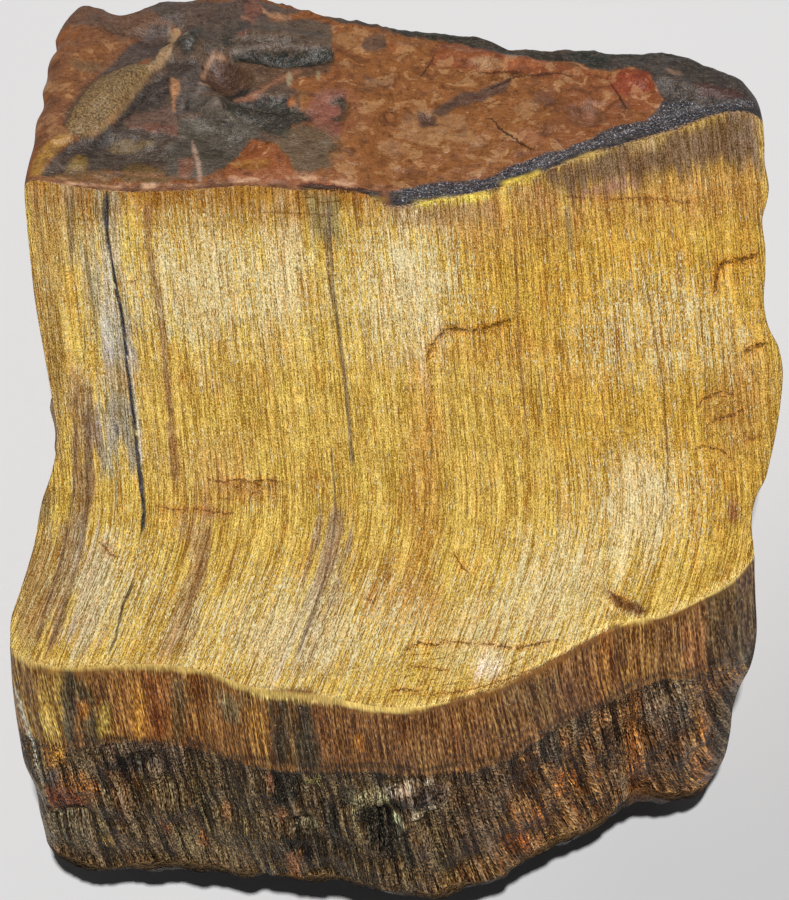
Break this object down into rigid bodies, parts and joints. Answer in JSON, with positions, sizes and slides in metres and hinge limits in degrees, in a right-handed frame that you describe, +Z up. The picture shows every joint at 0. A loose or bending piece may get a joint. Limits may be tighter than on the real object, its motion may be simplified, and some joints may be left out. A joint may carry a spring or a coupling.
{
  "type": "rough tiger's eye",
  "caption": "Rough broken block of golden fibrous tiger's eye with its rust-red wall rock, lying on a flat sole.",
  "frame": {"origin": "centre of the bottom of the stone's box, on the ground it lies on", "axes": "+X to the right across the fibres, +Y along the fibres towards the wall rock, +Z up out of the face"},
  "size_m": [0.0775, 0.0943, 0.0393],
  "materials": {
    "tigers_eye": "rough fibrous quartz, golden with a silky sheen along the fibres"
  },
  "bodies": {
    "root": {"tigers_eye": "tigers_eye"}
  },
  "joints": []
}
